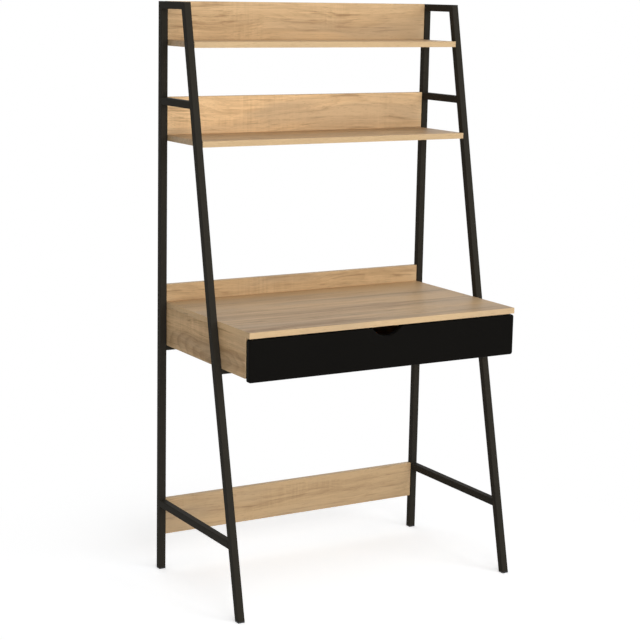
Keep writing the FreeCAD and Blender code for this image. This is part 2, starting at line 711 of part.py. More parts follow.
def drawer_fasteners():
    """Cam locks on the drawer front, screws in its back, and the screws of all runners."""
    back_screw = screw(drawer_wall + drawer_screw_grip)
    runner_screw = screw(sheet + runner_screw_grip)
    foot_screw_length = sheet + drawer_bottom_rise - foot_screw_gap
    foot_screw = screw(foot_screw_length)
    bolt_length = cam_setback + cam_bolt_grip
    cam_pin = cam_bolt(bolt_length)
    forward = REAR * -1
    screw_z = track_floor + track_height - runner_screw_drop
    foot_middle = slide_space + runner_foot_width / 2
    for side, sign in SIDES:
        inward = RIGHT * -sign
        wall = "drawer_" + side + "_side"
        wall_middle = sign * (drawer_inner + drawer_wall / 2)
        back_middle = drawer_rear_reach + drawer_wall / 2
        for z in (drawer_floor_top + drawer_screw_inset, drawer_side_top - drawer_screw_inset):
            drive("drawer_back_screws", back_screw, screw_radius, drawer_wall + drawer_screw_grip,
                  at(sign * drawer_outer, back_middle, z), inward, (wall, "drawer_back"))
        for z in (drawer_floor_top + drawer_cam_inset, drawer_side_top - drawer_cam_inset):
            reach = front_back_reach - cam_setback
            pin_seat = at(wall_middle, reach, z)
            drive("drawer_cam_bolts", cam_pin, cam_bolt_radius, bolt_length, pin_seat, forward,
                  (wall, "drawer_front"))
            cam_lock("drawer_cam_discs", at(sign * drawer_inner, reach, z), RIGHT * sign, drawer_wall,
                     pin_seat, forward, wall)
        runner_middle = (cabinet_runner_front + cabinet_runner_rear) / 2
        rear_screw = cabinet_runner_rear + runner_screw_inset
        front_screw = cabinet_runner_front - runner_screw_inset
        for reach in (rear_screw, runner_middle, front_screw):
            drive("cabinet_runner_screws", runner_screw, screw_radius, sheet + runner_screw_grip,
                  at(slide_x(sign, sheet), reach, screw_z), RIGHT * sign,
                  (side + "_cabinet_runner", side + "_side_panel"))
            drive("drawer_runner_screws", foot_screw, screw_radius, foot_screw_length,
                  at(slide_x(sign, foot_middle), reach, drawer_side_bottom - sheet), UP,
                  (side + "_drawer_runner", wall))


side_frames()
shelves_and_boards()
desk_box()
drawer()
slides()
frame_bolts()
board_screws()
box_fasteners()
drawer_fasteners()

for name, solids in groups.items():
    pieces[name] = Part.makeCompound(solids)

os.makedirs("parts", exist_ok=True)
for name, shape in pieces.items():
    shape.exportStep("parts/" + name + ".step")
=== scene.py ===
"""Looks of a ladder desk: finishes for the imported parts, edge bands, weld beads and a studio."""
import json
import math
from typing import NamedTuple

import bpy
import numpy as np
from bpy.props import FloatProperty, FloatVectorProperty, PointerProperty
from mathutils import Matrix, Vector

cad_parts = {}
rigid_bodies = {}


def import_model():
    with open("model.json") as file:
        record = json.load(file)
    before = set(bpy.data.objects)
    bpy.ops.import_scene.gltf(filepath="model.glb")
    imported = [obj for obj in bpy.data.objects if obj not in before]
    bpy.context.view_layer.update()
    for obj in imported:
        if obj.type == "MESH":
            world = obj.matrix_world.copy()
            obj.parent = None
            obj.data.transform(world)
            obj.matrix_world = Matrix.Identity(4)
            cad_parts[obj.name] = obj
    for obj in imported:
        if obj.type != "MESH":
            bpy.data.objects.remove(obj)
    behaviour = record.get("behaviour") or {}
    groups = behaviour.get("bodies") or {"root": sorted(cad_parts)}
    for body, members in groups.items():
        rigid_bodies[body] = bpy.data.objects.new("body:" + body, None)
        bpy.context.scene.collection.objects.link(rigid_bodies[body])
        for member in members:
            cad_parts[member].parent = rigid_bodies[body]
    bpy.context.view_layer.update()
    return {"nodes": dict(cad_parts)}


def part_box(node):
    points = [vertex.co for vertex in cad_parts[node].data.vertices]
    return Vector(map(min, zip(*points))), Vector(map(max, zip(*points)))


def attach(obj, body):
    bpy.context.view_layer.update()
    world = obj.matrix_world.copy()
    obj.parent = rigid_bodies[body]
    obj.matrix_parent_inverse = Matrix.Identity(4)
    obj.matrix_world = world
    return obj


bl_info = {
    "name": "Ladder Desk",
    "version": (1, 0, 0),
    "blender": (4, 5, 0),
    "location": "View3D > Sidebar > Ladder Desk",
    "description": "Finishes, edge bands, weld beads and a studio for a leaning ladder desk",
    "category": "Object",
}

for leftover in list(bpy.data.objects):
    bpy.data.objects.remove(leftover)
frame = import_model()

# Parts of the desk

X, Y, Z = range(3)
SIDES = ("left", "right")
SQUARE_TUBES = ("upper_rear_post", "upper_front_post", "top_rail", "mid_rung",
                "lower_rear_leg", "lower_front_leg", "lower_rung")
CROSS_RAILS = ("front_cross_rail", "rear_cross_rail")
RUNGS = ("mid_rung", "lower_rung")
LONG_BOARDS = ("top_shelf", "top_back_board", "mid_shelf", "mid_back_board",
               "desktop", "splash_board", "box_back_panel", "stretcher_board")
FRONT_BANDS = ("top_shelf", "mid_shelf", "desktop")
UPPER_BANDS = ("top_back_board", "mid_back_board", "splash_board", "stretcher_board")
ZINC_PIECES = ("cabinet_roller_axles", "drawer_roller_axles", "board_screws",
               "desktop_cam_discs", "desktop_cam_bolts", "rail_screws",
               "drawer_cam_discs", "drawer_cam_bolts", "drawer_back_screws",
               "cabinet_runner_screws", "drawer_runner_screws")

# Faces of a board's box: the axis that a face looks along, and its sign
FRONT_FACE, UPPER_FACE, LOWER_FACE = (Y, -1), (Z, 1), (Z, -1)
SIDE_FACES = {"left": (X, -1), "right": (X, 1)}


def sided(*names):
    """The same names for the left and the right half."""
    return [f"{side}_{name}" for side in SIDES for name in names]


# Nodes

WHITE = (1.0, 1.0, 1.0, 1.0)
NOISE_MIDDLE = 0.5
MIX_FACTOR, MIX_FIRST, MIX_SECOND, MIX_RESULT = 0, 6, 7, 2


class Value:
    """A socket whose arithmetic adds Math nodes."""

    def __init__(self, finish, socket):
        self.finish = finish
        self.socket = socket

    def math(self, operation, first, second=0.0):
        return self.finish.add("ShaderNodeMath", {"operation": operation}, {0: first, 1: second})

    def __add__(self, other):
        return self.math("ADD", self, other)

    def __radd__(self, other):
        return self.math("ADD", other, self)

    def __sub__(self, other):
        return self.math("SUBTRACT", self, other)

    def __rsub__(self, other):
        return self.math("SUBTRACT", other, self)

    def __mul__(self, other):
        return self.math("MULTIPLY", self, other)

    def __rmul__(self, other):
        return self.math("MULTIPLY", other, self)

    def __truediv__(self, other):
        return self.math("DIVIDE", self, other)

    def __rtruediv__(self, other):
        return self.math("DIVIDE", other, self)

    def __pow__(self, other):
        return self.math("POWER", self, other)

    def __rpow__(self, other):
        return self.math("POWER", other, self)

    def fraction(self):
        """The part after the point."""
        return self.math("FRACT", self)

    def larger(self, other):
        """The larger of the two."""
        return self.math("MAXIMUM", self, other)

    def swing(self):
        """A noise less its middle, so that it swings about 0."""
        return self - NOISE_MIDDLE


class Finish:
    """A node tree, filled by one method that adds a node of any type."""

    def __init__(self, tree):
        self.tree = tree
        tree.nodes.clear()

    def add(self, kind, settings, sockets, output=0):
        """Adds a node, sets its settings, then its sockets from values or links."""
        node = self.tree.nodes.new(kind)
        for key, value in settings.items():
            setattr(node, key, value)
        for key, value in sockets.items():
            if isinstance(value, Value):
                self.tree.links.new(value.socket, node.inputs[key])
            else:
                node.inputs[key].default_value = value
        return Value(self, node.outputs[output]) if node.outputs else None

    def place(self):
        """Object coordinates in metres."""
        return self.add("ShaderNodeTexCoord", {}, {}, "Object")

    def scaled(self, vector, scale):
        """The vector times a scale for each axis."""
        return self.add("ShaderNodeVectorMath", {"operation": "MULTIPLY"}, {0: vector, 1: scale})

    def noise(self, place, cells, detail=2.0, roughness=0.5):
        """Soft noise from 0 to 1, with a number of cells for each metre on each axis."""
        vector = self.scaled(place, cells)
        sockets = {"Vector": vector, "Scale": 1.0, "Detail": detail, "Roughness": roughness}
        return self.add("ShaderNodeTexNoise", {"noise_dimensions": "3D"}, sockets)

    def ramp(self, value, low, high):
        """A smooth step from 0 at low to 1 at high."""
        settings = {"interpolation_type": "SMOOTHSTEP", "clamp": True}
        sockets = {"Value": value, "From Min": low, "From Max": high, "To Min": 0.0, "To Max": 1.0}
        return self.add("ShaderNodeMapRange", settings, sockets)

    def mix(self, factor, first, second):
        """The first colour where the factor is 0 and the second where it is 1."""
        settings = {"data_type": "RGBA", "clamp_factor": True}
        sockets = {MIX_FACTOR: factor, MIX_FIRST: first, MIX_SECOND: second}
        return self.add("ShaderNodeMix", settings, sockets, MIX_RESULT)

    def shade(self, factor, first, second):
        """The first shader where the factor is 0 and the second where it is 1."""
        return self.add("ShaderNodeMixShader", {}, {0: factor, 1: first, 2: second})

    def bump(self, height, strength, distance):
        """A normal from a height."""
        sockets = {"Strength": strength, "Distance": distance, "Height": height}
        return self.add("ShaderNodeBump", {}, sockets)

    def close(self, sockets):
        """The shader and the material's output."""
        shader = self.add("ShaderNodeBsdfPrincipled", {}, sockets)
        self.add("ShaderNodeOutputMaterial", {}, {"Surface": shader})


def new_material(name):
    """An empty node material and the finish that fills it."""
    material = bpy.data.materials.new(name)
    material.use_nodes = True
    return material, Finish(material.node_tree)


def stretched(along, long_value, cross_value):
    """One value on the axis along the grain and another on the two axes across it."""
    values = [cross_value] * 3
    values[along] = long_value
    return tuple(values)


def even(value):
    """The same value on all three axes."""
    return (value,) * 3


def lifted(colour, factor, more=0.0):
    """A colour made paler or darker by a factor, and paler by a little more."""
    return tuple(min(1.0, factor * part + more) for part in colour[:3]) + (1.0,)


def tinted(colour, shares):
    """A colour that keeps a share of its red, green and blue."""
    return tuple(share * part for share, part in zip(shares, colour)) + (1.0,)


# Oak print


class Layer(NamedTuple):
    """Noise in the oak print, with cells for each metre along and across the grain. Its weight is
    in metres where it moves the grain, and else a share of the way to the darker tone. Where it
    makes patches, they begin at the low level and are full at the high one."""

    along: float
    across: float
    weight: float = 1.0
    detail: float = 2.0
    roughness: float = 0.5
    low: float = 0.0
    high: float = 1.0


class Print(NamedTuple):
    """How a board's print differs from plain oak: the slope of its heart line, the weight of its
    arches, its gloss, its share of plain oak's lines and bands, and the weight of its bands."""

    tilt: float = 0.07
    figure: float = 1.0
    gloss: float = 0.4
    density: float = 1.0
    contrast: float = 1.0


DRIFT = Layer(2.8, 9.0, weight=0.045, roughness=0.45)
RING_WARP = Layer(2.2, 13.0, weight=0.014)
RING_FRAY = Layer(17.0, 70.0, weight=0.009, roughness=0.6)
ARCHES = Layer(1.9, 11.0, weight=0.30, detail=1.0, low=0.36, high=0.62)
BROAD_BANDS = Layer(0.9, 16.0, weight=1.5)
NARROW_BANDS = Layer(2.2, 95.0, weight=1.0, roughness=0.55)
FIBRE = Layer(10.0, 330.0, weight=0.95, detail=3.0, roughness=0.66)
STREAKS = Layer(5.0, 110.0, weight=0.62, detail=3.0, roughness=0.6, low=0.54, high=0.72)
CLOUDS = Layer(2.4, 15.0, weight=0.5, low=0.44, high=0.70)
PORES = Layer(34.0, 900.0, weight=0.4, detail=1.0, low=0.62, high=0.74)
SAW_MARKS = Layer(150.0, 10.0, weight=0.5, detail=1.0)
SAW_PATCHES = Layer(4.5, 9.0, detail=1.0, low=0.48, high=0.64)
BASE_TONE = 0.17

# A growth line darkens by a power of its ring's share, then falls off over the last of it
LINE_POWER = 2.4
LINE_FALL = (0.80, 1.0)
# To the sides of the heart line it fades, between two distances that are given as squares
SIDE_FADE = 0.85
SIDE_FADE_SQUARES = (0.0003, 0.0018)

BOARD_PRINT = Print()
DESKTOP_PRINT = Print(gloss=0.26, density=0.5, contrast=2.4)
PANEL_PRINT = Print(tilt=0.30, figure=2.2, gloss=0.08, density=0.55, contrast=1.6)
BAND_PRINT = Print(figure=0.7)
REAR_BAND_PRINT = Print(figure=0.7, gloss=0.08)
FOIL_PRINT = Print(figure=0.5)

# How much paler or darker a board or a band is than the oak's own colour. On the boards this is
# painted light and shade: each board is made paler or darker to stand in for how much light
# reaches it, most of all the mid back board under the top shelf and the side panels
BOARD_PAINTED_LIGHT = {"top_back_board": 1.07, "mid_back_board": 1.40, "splash_board": 1.01,
               "stretcher_board": 0.87, "left_side_panel": 1.28, "right_side_panel": 1.28,
               "desktop": 0.97}
BAND_LINE_TONE, REAR_BAND_TONE, UPRIGHT_BAND_TONE = 0.82, 1.15, 1.35

# The heart line's place from a board's middle, along and across, swings from board to board
HEART_SWING = (0.30, 0.015)
HEART_PACE = (2.3, 1.9)
PANEL_HEART = (0.06, -0.035)


def oak_material(name, along, light, dark, settings, heart=(0.0, 0.0), kind=BOARD_PRINT):
    """Oak print along one axis: the grain drifts sideways in long waves, and growth rings about a
    heart line that leaves the board at a tilt draw arches, with bands, fibre, streaks, pores,
    cloudy patches and faint saw marks."""
    material, oak = new_material(name)
    place = oak.place()

    def grain(vector, layer, long_share=1.0, cross_share=1.0):
        """A layer's noise, with a share of its cells along and across the grain."""
        cells = stretched(along, long_share * layer.along, cross_share * layer.across)
        return oak.noise(vector, cells, layer.detail, layer.roughness)

    wave = grain(place, DRIFT).swing()
    drift = oak.add("ShaderNodeCombineXYZ", {}, {0: wave, 1: wave, 2: wave})
    drift = oak.scaled(drift, stretched(along, 0.0, DRIFT.weight))
    flow = oak.add("ShaderNodeVectorMath", {"operation": "ADD"}, {0: place, 1: drift})

    def patches(layer):
        """A layer's patches, 0 outside them and 1 inside."""
        return oak.ramp(grain(flow, layer), layer.low, layer.high)

    def measure(long_share, cross_share):
        """A place along the grain, or the summed place on the two axes across it."""
        sockets = {0: flow, 1: stretched(along, long_share, cross_share)}
        return oak.add("ShaderNodeVectorMath", {"operation": "DOT_PRODUCT"}, sockets, "Value")

    across = measure(0.0, 1.0) - heart[1]
    deep = settings.heart_depth + kind.tilt * (measure(1.0, 0.0) - heart[0])
    rings = (across ** 2.0 + deep ** 2.0) ** 0.5
    warp = RING_WARP.weight * grain(flow, RING_WARP).swing()
    warp = warp + RING_FRAY.weight * grain(flow, RING_FRAY).swing()
    ring = (kind.density * (rings + warp) / settings.line_spacing).fraction()
    line = ring ** LINE_POWER * (1.0 - oak.ramp(ring, *LINE_FALL)) * patches(ARCHES)
    line = line * (1.0 - SIDE_FADE * oak.ramp(across ** 2.0, *SIDE_FADE_SQUARES))

    broad = grain(flow, BROAD_BANDS, 1.0, kind.density)
    narrow = grain(flow, NARROW_BANDS, kind.density, kind.density)
    fibre = grain(flow, FIBRE)
    pore = patches(PORES)
    sawn = grain(flow, SAW_MARKS).swing() * patches(SAW_PATCHES)
    bands = BROAD_BANDS.weight * broad.swing() + NARROW_BANDS.weight * narrow.swing()
    tone = BASE_TONE + kind.contrast * bands + FIBRE.weight * fibre.swing()
    tone = tone + SAW_MARKS.weight * sawn + STREAKS.weight * patches(STREAKS)
    tone = tone + ARCHES.weight * kind.figure * line
    wood = oak.mix(tone, light, dark)
    wood = oak.mix(CLOUDS.weight * patches(CLOUDS), wood, settings.cloud_colour)
    wood = oak.mix(PORES.weight * pore, wood, settings.pore_colour)
    height = 0.6 * fibre - 0.8 * pore - 0.3 * line
    oak.close({
        "Base Color": wood,
        "Roughness": settings.roughness + 0.16 * fibre.swing() + 0.08 * pore,
        "Specular IOR Level": kind.gloss,
        "Normal": oak.bump(height, strength=0.22, distance=0.00025),
    })
    return material


# Other finishes


def coat_material(name, colour, roughness, specular, grit_cells=850.0, peel=0.10):
    """Powder coat or lacquer: near even colour, broad sheen changes, dull specks and a fine
    orange peel."""
    material, coat = new_material(name)
    place = coat.place()
    broad = coat.noise(place, even(5.0), detail=3.0)
    grit = coat.noise(place, even(grit_cells), roughness=0.6)
    dust = coat.ramp(coat.noise(place, even(260.0)), low=0.62, high=0.78)
    paler = lifted(colour, factor=1.4, more=0.001)
    coat.close({
        "Base Color": coat.mix(0.55 * broad + 0.35 * grit, colour, paler),
        "Roughness": roughness + 0.14 * broad.swing() + 0.10 * grit.swing() + 0.05 * dust,
        "Specular IOR Level": specular,
        "Normal": coat.bump(grit, strength=peel, distance=0.0002),
    })
    return material


def plastic_material(name, colour, roughness):
    """Moulded plastic: fine spark texture and slight flow marks."""
    material, plastic = new_material(name)
    place = plastic.place()
    flow = plastic.noise(place, stretched(Z, 90.0, 30.0))
    spark = plastic.noise(place, even(1600.0), detail=1.0)
    paler = lifted(colour, factor=1.25, more=0.006)
    plastic.close({
        "Base Color": plastic.mix(0.6 * flow + 0.3 * spark, colour, paler),
        "Roughness": roughness + 0.12 * flow.swing() + 0.10 * spark.swing(),
        "Normal": plastic.bump(spark, strength=0.12, distance=0.0001),
    })
    return material


def zinc_material(name, colour, roughness):
    """Zinc plate on steel: drawn lines, and duller patches with a faint yellow cast."""
    material, zinc = new_material(name)
    place = zinc.place()
    drawn = zinc.noise(place, stretched(Y, 300.0, 2200.0))
    patch = zinc.noise(place, even(140.0))
    warm = tinted(colour, shares=(1.0, 0.95, 0.84))
    zinc.close({
        "Base Color": zinc.mix(zinc.ramp(patch, low=0.45, high=0.7), colour, warm),
        "Metallic": 1.0,
        "Roughness": roughness + 0.18 * drawn + 0.12 * patch,
        "Normal": zinc.bump(drawn, strength=0.10, distance=0.00005),
    })
    return material


def beech_material(name, colour, roughness):
    """Bare beech: short dark flecks along the dowel."""
    material, beech = new_material(name)
    place = beech.place()
    fleck = beech.ramp(beech.noise(place, stretched(Z, 160.0, 1500.0)), low=0.55, high=0.72)
    fibre = beech.noise(place, stretched(Z, 30.0, 900.0))
    darker = tinted(colour, shares=(0.7, 0.6, 0.5))
    beech.close({
        "Base Color": beech.mix(0.5 * fleck + 0.4 * fibre, colour, darker),
        "Roughness": roughness + 0.15 * fibre.swing(),
        "Normal": beech.bump(fibre, strength=0.2, distance=0.0001),
    })
    return material


def dress(names, material):
    """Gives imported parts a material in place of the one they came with."""
    for name in names:
        part = frame["nodes"][name]
        if not part.material_slots:
            part.data.materials.append(material)
        for holder in part.material_slots:
            holder.material = material


# Surfaces

SHARP_ANGLE = math.radians(50)
BAND_END_STEPS, BAND_CORNER_STEPS = 4, 5
BEAD_RINGS, BEAD_SIDES = 41, 12
BEAD_RIPPLE, BEAD_RIPPLE_LENGTH = 0.10, 0.0016
# Just short of 1, so that a bead's last ring keeps a size
BEAD_END = 0.999


def round_outline(width, height, radius, steps):
    """Outline of a rectangle with round corners: each corner is a quarter circle about a centre
    set in by the radius."""
    turn = np.linspace(0.0, np.pi / 2, steps)
    angle = (np.arange(4)[:, None] * np.pi / 2 + turn).ravel()
    corner = np.repeat(np.array([[1, 1], [-1, 1], [-1, -1], [1, -1]]), steps, axis=0)
    centre = corner * np.array([width / 2 - radius, height / 2 - radius])
    return centre + radius * np.stack([np.cos(angle), np.sin(angle)], axis=1)


def tube_faces(rings, points, first):
    """Quads between neighbour rings, and one cap on each end."""
    step = first + np.arange(rings - 1)[:, None] * points
    here = np.arange(points)[None, :]
    after = (here + 1) % points
    corners = [step + here, step + after, step + points + after, step + points + here]
    quads = np.stack(corners, axis=-1)
    start = first + np.arange(points)[::-1]
    end = first + (rings - 1) * points + np.arange(points)
    return quads.reshape(-1, 4).tolist() + [start.tolist(), end.tolist()]


def band_points(low, high, radius):
    """A bar with all edges rounded: a round-cornered outline carried along the box's longest side.
    At both ends it is set in by the radius times one minus the sine of a quarter turn, at the
    radius times one minus the cosine from the end."""
    low, high = np.array(low), np.array(high)
    long = int(np.argmax(high - low))
    first, second = (long + 1) % 3, (long + 2) % 3
    size, middle = high - low, (high + low) / 2
    turn = np.linspace(0.0, np.pi / 2, BAND_END_STEPS)
    inset = radius * (1 - np.sin(turn))
    back = radius * (1 - np.cos(turn))
    stations = np.concatenate([low[long] + back, (high[long] - back)[::-1]])
    inset = np.concatenate([inset, inset[::-1]])
    outline = round_outline(size[first], size[second], radius, BAND_CORNER_STEPS)
    shrink = 1 - 2 * inset[:, None, None] / np.array([size[first], size[second]])
    ring = outline[None] * shrink
    points = np.empty(ring.shape[:2] + (3,))
    points[..., first] = middle[first] + ring[..., 0]
    points[..., second] = middle[second] + ring[..., 1]
    points[..., long] = stations[:, None]
    return points


def bead_points(middle, half_length, radius):
    """A weld bead along X: circles whose radius is the bead's radius times the fourth root of one
    minus the eighth power of the share of its half length, times one plus a sine ripple."""
    share = np.sin(np.linspace(-np.pi / 2, np.pi / 2, BEAD_RINGS))
    along = half_length * share
    ripple = 1 + BEAD_RIPPLE * np.sin(2 * np.pi * along / BEAD_RIPPLE_LENGTH)
    size = radius * (1 - BEAD_END * share ** 8) ** 0.25 * ripple
    turn = np.linspace(0.0, 2 * np.pi, BEAD_SIDES, endpoint=False)
    points = np.empty((len(along), len(turn), 3))
    points[..., X] = middle[X] + along[:, None]
    points[..., Y] = middle[Y] + size[:, None] * np.cos(turn)
    points[..., Z] = middle[Z] + size[:, None] * np.sin(turn)
    return points


def new_piece(name, tubes, body, material):
    """One piece from closed tubes of rings, riding on a body."""
    faces, first = [], 0
    for rings in tubes:
        faces += tube_faces(rings.shape[0], rings.shape[1], first)
        first += rings.shape[0] * rings.shape[1]
    points = np.concatenate([rings.reshape(-1, 3) for rings in tubes])
    mesh = bpy.data.meshes.new(name)
    mesh.from_pydata(points.tolist(), [], faces)
    if mesh.validate():
        raise RuntimeError(f"{name} has bad faces")
    mesh.shade_smooth()
    mesh.set_sharp_from_angle(angle=SHARP_ANGLE)
    mesh.materials.append(material)
    piece = bpy.data.objects.new(name, mesh)
    bpy.context.scene.collection.objects.link(piece)
    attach(piece, body)


# Sizes and colours that a user would change


class LADDERDESK_PG_oak(bpy.types.PropertyGroup):
    """The oak print of the boards."""

    light_colour: FloatVectorProperty(
        name="Light oak", description="Palest tone of the print",
        subtype="COLOR", size=4, min=0, max=1, default=(0.66, 0.450, 0.243, 1.0))
    dark_colour: FloatVectorProperty(
        name="Dark oak", description="Tone of the growth lines and streaks",
        subtype="COLOR", size=4, min=0, max=1, default=(0.33, 0.195, 0.091, 1.0))
    cloud_colour: FloatVectorProperty(
        name="Cloudy patches", description="Greyer tone of the soft patches",
        subtype="COLOR", size=4, min=0, max=1, default=(0.46, 0.335, 0.21, 1.0))
    pore_colour: FloatVectorProperty(
        name="Pores", description="Tone of the short pores",
        subtype="COLOR", size=4, min=0, max=1, default=(0.25, 0.145, 0.065, 1.0))
    edge_colour: FloatVectorProperty(
        name="Edge band", description="Palest tone of the edge bands",
        subtype="COLOR", size=4, min=0, max=1, default=(0.62, 0.435, 0.238, 1.0))
    roughness: FloatProperty(
        name="Roughness", description="Roughness of the print",
        subtype="FACTOR", min=0, max=1, default=0.46)
    line_spacing: FloatProperty(
        name="Line spacing", description="Distance between growth rings",
        unit="LENGTH", default=0.0075)
    heart_depth: FloatProperty(
        name="Heart depth", description="Depth of the rings' heart below a board's face",
        unit="LENGTH", default=0.040)
    band_proud: FloatProperty(
        name="Band proud", description="How far a band stands out of its board",
        unit="LENGTH", default=0.0004)
    band_inside: FloatProperty(
        name="Band inside", description="How far a band reaches into its board",
        unit="LENGTH", default=0.0009)
    band_inset: FloatProperty(
        name="Band inset", description="How far a band's outline lies inside the board's face",
        unit="LENGTH", default=0.00004)
    band_round: FloatProperty(
        name="Band round", description="Radius on a band's edges",
        unit="LENGTH", default=0.0004)


class LADDERDESK_PG_black(bpy.types.PropertyGroup):
    """The black steel, plastic and drawer front."""

    steel_colour: FloatVectorProperty(
        name="Steel", description="Powder coat of the frames",
        subtype="COLOR", size=4, min=0, max=1, default=(0.0264, 0.0234, 0.0183, 1.0))
    steel_roughness: FloatProperty(
        name="Steel roughness", description="Roughness of the powder coat",
        subtype="FACTOR", min=0, max=1, default=0.46)
    front_colour: FloatVectorProperty(
        name="Drawer front", description="Lacquer of the drawer front",
        subtype="COLOR", size=4, min=0, max=1, default=(0.0042, 0.0038, 0.0032, 1.0))
    front_roughness: FloatProperty(
        name="Front roughness", description="Roughness of the lacquer",
        subtype="FACTOR", min=0, max=1, default=0.52)
    plastic_colour: FloatVectorProperty(
        name="Plastic", description="Feet and seam plugs",
        subtype="COLOR", size=4, min=0, max=1, default=(0.016, 0.016, 0.016, 1.0))
    bead_radius: FloatProperty(
        name="Bead radius", description="Radius of a weld bead",
        unit="LENGTH", default=0.0013)
    bead_half_length: FloatProperty(
        name="Bead half length", description="Half the length of a weld bead",
        unit="LENGTH", default=0.0078)


class LADDERDESK_PG_hardware(bpy.types.PropertyGroup):
    """The drawer's slides and the small hardware."""

    runner_colour: FloatVectorProperty(
        name="Runners", description="Powder coat of the runners",
        subtype="COLOR", size=4, min=0, max=1, default=(0.70, 0.70, 0.68, 1.0))
    nylon_colour: FloatVectorProperty(
        name="Rollers", description="Nylon of the rollers",
        subtype="COLOR", size=4, min=0, max=1, default=(0.74, 0.74, 0.71, 1.0))
    zinc_colour: FloatVectorProperty(
        name="Zinc", description="Plating of the screws and cams",
        subtype="COLOR", size=4, min=0, max=1, default=(0.60, 0.60, 0.59, 1.0))
    beech_colour: FloatVectorProperty(
        name="Beech", description="Bare wood of the dowels",
        subtype="COLOR", size=4, min=0, max=1, default=(0.62, 0.44, 0.28, 1.0))


class LADDERDESK_PG_stage(bpy.types.PropertyGroup):
    """The floor, the lamps and the camera."""

    floor_colour: FloatVectorProperty(
        name="Floor", description="Colour of the floor",
        subtype="COLOR", size=4, min=0, max=1, default=(0.91, 0.925, 0.94, 1.0))
    floor_half: FloatProperty(
        name="Floor half", description="Half the floor's side",
        unit="LENGTH", default=9.0)
    room_level: FloatProperty(
        name="Room light", description="Strength of the even light from all sides",
        min=0, default=0.20)
    front_power: FloatProperty(
        name="Front lamp", description="Watts of the large lamp in front",
        unit="POWER", min=0, default=104.0)
    right_power: FloatProperty(
        name="Right lamp", description="Watts of the high lamp in front on the right",
        unit="POWER", min=0, default=56.0)
    side_power: FloatProperty(
        name="Side lamp", description="Watts of the lamp on the left",
        unit="POWER", min=0, default=8.0)
    rear_power: FloatProperty(
        name="Rear lamp", description="Watts of the lamp behind",
        unit="POWER", min=0, default=42.0)
    top_power: FloatProperty(
        name="Top lamp", description="Watts of the lamp overhead",
        unit="POWER", min=0, default=16.0)
    camera_place: FloatVectorProperty(
        name="Camera", description="Where the camera stands",
        subtype="TRANSLATION", unit="LENGTH", size=3, default=(-2.4570, -3.9752, 1.6408))
    camera_turn: FloatProperty(
        name="Camera turn", description="Turn of the view to the right",
        subtype="ANGLE", default=math.radians(29.760))
    camera_dip: FloatProperty(
        name="Camera dip", description="How far the view looks down",
        subtype="ANGLE", default=math.radians(10.096))
    camera_roll: FloatProperty(
        name="Camera roll", description="Turn about the view line",
        subtype="ANGLE", default=math.radians(-0.945))
    camera_lens: FloatProperty(
        name="Lens", description="Focal length in millimetres on a 36 mm sensor",
        min=1, default=95.881)
    camera_shift: FloatVectorProperty(
        name="Shift", description="Sideways and upward shift of the picture",
        size=2, default=(0.06, -0.045))


# Operators


class LADDERDESK_OT_boards(bpy.types.Operator):
    """Finishes the oak boards, with the grain along long boards and to the rear on side panels."""

    bl_idname = "ladderdesk.boards"
    bl_label = "Oak boards"

    def execute(self, context):
        oak = context.scene.ladderdesk_oak
        for count, board in enumerate(LONG_BOARDS):
            along = HEART_SWING[0] * math.sin(HEART_PACE[0] * count)
            across = HEART_SWING[1] * math.cos(HEART_PACE[1] * count)
            kind = DESKTOP_PRINT if board == "desktop" else BOARD_PRINT
            self.cover(board, X, (along, across), kind, oak)
        for panel in sided("side_panel"):
            self.cover(panel, Y, PANEL_HEART, PANEL_PRINT, oak)
        return {"FINISHED"}

    def cover(self, board, axis, offset, kind, oak):
        """Gives a board its own print. The heart line's place is measured along the grain, and as
        a sum of the two axes across it, from the board's middle plus an offset."""
        low, high = (np.array(corner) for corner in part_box(board))
        middle = (low + high) / 2
        heart = middle[axis] + offset[0], middle.sum() - middle[axis] + offset[1]
        # Painted light and shade: the print's tones are made paler or darker on this board to
        # stand in for how much light reaches it
        tone = BOARD_PAINTED_LIGHT.get(board, 1.0)
        light, dark = lifted(oak.light_colour, tone), lifted(oak.dark_colour, tone)
        dress([board], oak_material("oak_" + board, axis, light, dark, oak, heart, kind))


class LADDERDESK_OT_bands(bpy.types.Operator):
    """Adds the edge bands on the open edges of shelves, desktop, boards and side panels."""

    bl_idname = "ladderdesk.bands"
    bl_label = "Edge bands"

    def execute(self, context):
        oak = context.scene.ladderdesk_oak
        edge, light, dark = tuple(oak.edge_colour), tuple(oak.light_colour), tuple(oak.dark_colour)
        along_desk = oak_material("oak_band_along_desk", X, edge, lifted(light, BAND_LINE_TONE),
                                  oak, kind=BAND_PRINT)
        to_rear = oak_material("oak_band_to_rear", Y, lifted(light, REAR_BAND_TONE), dark,
                               oak, kind=REAR_BAND_PRINT)
        upright = oak_material("oak_band_upright", Z, lifted(edge, UPRIGHT_BAND_TONE), light,
                               oak, kind=BAND_PRINT)
        for node in FRONT_BANDS:
            self.band(node + "_front_band", node, FRONT_FACE, along_desk, oak)
        for node in UPPER_BANDS:
            self.band(node + "_upper_band", node, UPPER_FACE, along_desk, oak)
        self.band("stretcher_lower_band", "stretcher_board", LOWER_FACE, along_desk, oak)
        for side in SIDES:
            panel = f"{side}_side_panel"
            self.band(f"desktop_{side}_band", "desktop", SIDE_FACES[side], to_rear, oak)
            self.band(f"{side}_panel_front_band", panel, FRONT_FACE, upright, oak)
            self.band(f"{side}_panel_lower_band", panel, LOWER_FACE, to_rear, oak)
        return {"FINISHED"}

    def band(self, name, node, face, material, oak):
        """A band over one face of a board's box, from inside the board to proud of it."""
        axis, sign = face
        low, high = (np.array(corner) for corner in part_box(node))
        level = high[axis] if sign > 0 else low[axis]
        low, high = low + oak.band_inset, high - oak.band_inset
        low[axis], high[axis] = sorted((level - sign * oak.band_inside,
                                        level + sign * oak.band_proud))
        new_piece(name, [band_points(low, high, oak.band_round)], "desk", material)


